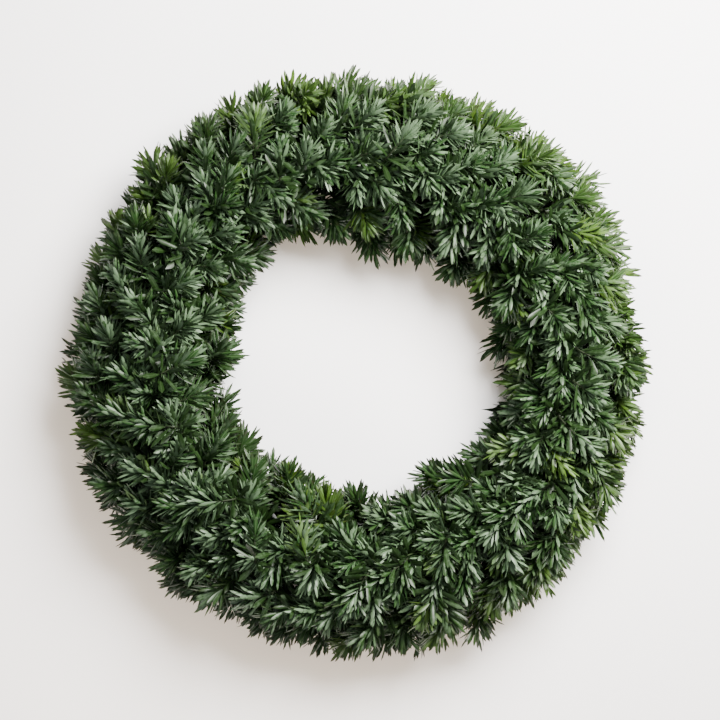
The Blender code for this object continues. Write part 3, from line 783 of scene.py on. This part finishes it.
def sprayParts(spray):
    # stem, shoots and leaves of one spray, as points and faces of a single mesh
    parts = []
    first = 0

    def addCopies(points, faces, slot, uv, tone):
        nonlocal first
        count, stride = points.shape[:2]
        loops, sizes = repeatFaces(faces, count, stride, first)
        parts.append((pressed(points).reshape(-1, 3), loops, sizes, np.tile(slot, count),
                      np.tile(uv, (count, 1)), np.repeat(tone, stride, 0)))
        first += count * stride

    def addTubes(line, radius, sides, helper):
        points = tube(line, radius, sides, helper).reshape(len(line), -1, 3)
        faces = tubeFaces(line.shape[1], sides)
        tone = np.tile([0.0, 0.3, 0.0, 1.0], (len(line), 1))
        addCopies(points, faces, np.full(len(faces), 2), np.zeros((points.shape[1], 2)), tone)

    for leaf, owner, shares in leafSets:
        own = np.flatnonzero(owner == spray)
        chosen = {key: value[own].reshape(-1, *value.shape[2:]) for key, value in leaf.items()}
        points, faces, under, uv = growLeaves(chosen, shares)
        keep = (points[..., 2].min(1) > lay["lowest"]) & (points[..., 2].max(1) < lay["highest"])
        addCopies(points[keep], faces, under, uv, chosen["tone"][keep])

    for shoots, rings, widest in ((mainShoots, stalk["rings"], stalk["radius"]),
                                  (sideShoots[0], branch["rings"], stalk["sideRadius"]),
                                  (sideShoots[1], branch["rings"], stalk["sideRadius"])):
        own = np.flatnonzero(tufts["spray"] == spray)
        share = np.broadcast_to(np.linspace(0, 1, rings), (len(own), rings))
        root, leave, base, axis = (shoots[key][own, None] for key in ("root", "leave", "base", "axis"))
        curve, _ = shootCurve(root, leave, base, axis, share)
        core = base + shoots["core"][own, None, None] * np.array([[0.5], [1.0]]) * axis
        radius = np.tile(np.linspace(widest, stalk["tipRadius"], rings + 2), (len(own), 1))
        bendAxis = unit(np.cross(leave, axis))
        addTubes(np.concatenate([curve, core], 1), radius, stalk["sides"], bendAxis)

    stemRadius, middle = stems[spray]
    turn = middle + np.linspace(stem["stops"][0], stem["stops"][-1], stem["rings"])
    radius = np.linspace(stem["radius"], stem["tipRadius"], stem["rings"])
    addTubes(at(stemRadius, turn, stemHeight)[None], radius[None], stem["sides"], upward)
    return [np.concatenate(part) for part in zip(*parts)]


pieces = []
faceTotal = 0
for spray in range(sprayCount):
    lane = laneNames[spray // wreath["stations"]]
    number = spray % wreath["stations"] + 1
    verts, loops, sizes, slots, uvs, tones = sprayParts(spray)
    piece = buildMesh(f"foliage_{lane}_{number:02d}", verts, loops, sizes, slots, uvs, tones,
                      (leafUpper, leafUnder, bark), math.radians(55))
    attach(piece, "root")
    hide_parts(f"spray_{lane}_{number:02d}")
    pieces.append(piece)
    faceTotal += int((sizes - 2).sum())
print("foliage grown,", faceTotal, "triangles")


# Frame and binding

def makeFrame():
    verts, loops, sizes = [], [], []
    first = 0
    steps, sides = 160, 10
    turn = np.arange(steps) * math.tau / steps

    def add(points, faces):
        nonlocal first
        theseLoops, theseSizes = repeatFaces(faces, 1, 0, first)
        verts.append(points.reshape(-1, 3))
        loops.append(theseLoops)
        sizes.append(theseSizes)
        first += len(verts[-1])

    for radius in ring["railRadii"]:
        line = at(radius, turn, ring["railHeight"])
        add(tube(line, np.full(steps, ring["railWire"]), sides, upward, closed=True),
            tubeFaces(steps, sides, closed=True))
    line, section = barLine()
    slope = unit(np.gradient(line, axis=0))
    normal = np.stack([-slope[:, 1], slope[:, 0]], -1)
    flat = line[:, None] + section[None, :, 1:] * normal[:, None]
    for index in range(ring["barCount"]):
        turnOf = np.array(buttTurn + math.tau * index / ring["barCount"])
        points = (flat[..., :1] * outward(turnOf) + flat[..., 1:] * upward
                  - section[None, :, :1] * clockwise(turnOf))
        add(points, tubeFaces(len(line), len(section)))
    verts, loops, sizes = (np.concatenate(part) for part in (verts, loops, sizes))
    return buildMesh("welded_ring", verts, loops, sizes, np.zeros(len(sizes)), np.zeros((len(verts), 2)),
                     None, (paintedSteel,), math.radians(40))


def roundCorners(corners, radius, steps):
    # each corner of a polyline is cut back by its radius and bridged by a curve of degree two
    parts = [corners[:1]]
    for before, corner, after in zip(corners, corners[1:], corners[2:]):
        start = corner + unit(before - corner) * radius
        end = corner + unit(after - corner) * radius
        share = np.linspace(0, 1, steps)[:, None]
        parts.append((1 - share) ** 2 * start + 2 * share * (1 - share) * corner + share ** 2 * end)
    parts.append(corners[-1:])
    return np.concatenate(parts)


def barLine():
    # middle line of the flat strip, out from the axis and up, and its section across and through
    half = ring["barThickness"] / 2
    inner = ring["railRadii"][0] - ring["barOverhang"] + half
    outer = ring["railRadii"][-1] + ring["barOverhang"] - half
    top = ring["railHeight"] - ring["railSide"] / 2 + ring["barSink"] - half
    foot = ring["footLength"] - half
    corners = np.array([(inner + foot, half), (inner, half), (inner, top),
                        (outer, top), (outer, half), (outer - foot, half)])
    line = roundCorners(corners, ring["barCorner"], 6)
    wide, chamfer = ring["barWidth"] / 2, ring["barChamfer"]
    section = np.array([(-wide + chamfer, -half), (wide - chamfer, -half), (wide, -half + chamfer),
                        (wide, half - chamfer), (wide - chamfer, half), (-wide + chamfer, half),
                        (-wide, half - chamfer), (-wide, -half + chamfer)])
    return line, section


def makeBinding():
    # One wire wound once round the rails and the stems' cut ends at each station, clockwise
    over = stemHeight + windingReach
    under = ring["railHeight"] - ring["railSide"] / 2 - ring["wireClearance"] - ring["wireRadius"]
    inner, outer = ring["railRadii"][0] - windingReach, ring["railRadii"][-1] + windingReach
    slant, half = ring["wireSlant"], ring["acrossShare"] / 2
    corners = np.array([(inner, ring["railHeight"], 0.0), (inner + slant, over, 0.25 - half),
                        (outer - slant, over, 0.25 + half), (outer, ring["railHeight"], 0.5),
                        (outer - slant, under, 0.75 - half), (inner + slant, under, 0.75 + half)])
    winding = np.arange(wreath["stations"])[:, None]
    turn = buttTurn + stationTurn / 4 - stationTurn * (winding + corners[None, :, 2])
    points = at(corners[None, :, 0], turn, corners[None, :, 1]).reshape(-1, 3)
    line = roundCorners(points, ring["wireCorner"], 4)
    sides = 8
    helper = clockwise(np.arctan2(line[:, 1], line[:, 0]))
    verts = tube(line, np.full(len(line), ring["wireRadius"]), sides, helper).reshape(-1, 3)
    loops, sizes = repeatFaces(tubeFaces(len(line), sides), 1, 0, 0)
    return buildMesh("florist_wire", verts, loops, sizes, np.zeros(len(sizes)), np.zeros((len(verts), 2)),
                     None, (bindingSteel,), math.radians(40))


weldedRing = makeFrame()
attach(weldedRing, "root")
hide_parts("wire_frame")
floristWire = makeBinding()
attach(floristWire, "root")
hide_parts("binding_wire")
print("frame and binding made")


# Stage, light and camera

stage = {
    "floorSize": 3.6,
    "floor": "#eeecea",
    "photoWidth": 720,
    "millimetresPerPixel": 1.02,
    "centrePixel": (358, 364),  # where the wreath's axis stands in the picture
    "lens": 85.0,
    "sensor": 36.0,
    "focusHeight": 0.062,  # the outline lies at about half the wreath's depth
    "window": {"place": (0.86, 0.82, 1.00), "size": 0.7, "power": 67.0, "colour": "#fffdf8"},
    "fill": {"place": (-1.6, 0.3, 2.2), "size": 2.2, "power": 5.5, "colour": "#eef4ff"},
    "wall": {"place": (0.46, 0.64, 1.00), "size": 0.9, "power": 118.0, "colour": "#fdfdff"},
    "ceiling": {"place": (0.4, 0.55, 2.1), "size": 3.0, "power": 40.0, "colour": "#fff1de"},
    "bounce": {"place": (-0.3, -1.0, 0.9), "size": 0.8, "power": 17.0, "colour": "#ffe9cf"},
    "room": 0.25,
    "backdrop": 2.5,
}


def makeFloor():
    half = stage["floorSize"] / 2
    mesh = bpy.data.meshes.new("floor")
    corners = [(-half, -half, 0), (half, -half, 0), (half, half, 0), (-half, half, 0)]
    mesh.from_pydata(corners, [], [(0, 1, 2, 3)])
    material, shader = newMaterial("mattPaintedBoard")
    shader.inputs["Base Color"].default_value = srgb(stage["floor"])
    shader.inputs["Roughness"].default_value = 0.9
    mesh.materials.append(material)
    floor = bpy.data.objects.new("floor", mesh)
    bpy.context.scene.collection.objects.link(floor)
    return floor


def addLight(name, lit):
    # a round soft light that falls on the given objects alone
    look = stage[name]
    light = bpy.data.lights.new(name, "AREA")
    light.shape = "DISK"
    light.size = look["size"]
    light.energy = look["power"]
    light.color = srgb(look["colour"])[:3]
    lamp = bpy.data.objects.new(name, light)
    lamp.location = look["place"]
    direction = np.array([0.0, 0.0, 0.05]) - np.array(look["place"])
    lamp.rotation_euler = (0, math.acos(-direction[2] / np.linalg.norm(direction)),
                           math.atan2(-direction[1], -direction[0]))
    receivers = bpy.data.collections.new(name + "Lit")
    for thing in lit:
        receivers.objects.link(thing)
    lamp.light_linking.receiver_collection = receivers
    lamp.visible_camera = False
    bpy.context.scene.collection.objects.link(lamp)


floor = makeFloor()
pieces += [weldedRing, floristWire]
addLight("window", pieces)
addLight("fill", pieces)
addLight("wall", [floor])  # these three lift the pale floor to white and leave the foliage alone
addLight("ceiling", [floor])
addLight("bounce", [floor])
world = bpy.data.worlds.new("paleRoom")
bpy.context.scene.world = world
world.use_nodes = True
background = world.node_tree.nodes["Background"]
background.inputs["Color"].default_value = srgb("#f4f6fa")
ray = world.node_tree.nodes.new("ShaderNodeLightPath")
seen = world.node_tree.nodes.new("ShaderNodeMath")  # the room looks pale beyond the floor's edge
seen.operation = "MULTIPLY_ADD"
seen.inputs[1].default_value = stage["backdrop"]
seen.inputs[2].default_value = stage["room"]
world.node_tree.links.new(ray.outputs["Is Camera Ray"], seen.inputs[0])
world.node_tree.links.new(seen.outputs[0], background.inputs["Strength"])

camera = bpy.data.cameras.new("camera")
camera.lens = stage["lens"]
camera.sensor_width = stage["sensor"]
eye = bpy.data.objects.new("camera", camera)
scale = stage["millimetresPerPixel"] / 1000
middle = stage["photoWidth"] / 2
width = stage["photoWidth"] * scale
eye.location = ((middle - stage["centrePixel"][0]) * scale, (stage["centrePixel"][1] - middle) * scale,
                stage["focusHeight"] + width * stage["lens"] / stage["sensor"])
bpy.context.scene.collection.objects.link(eye)
bpy.context.scene.camera = eye
print("stage set")
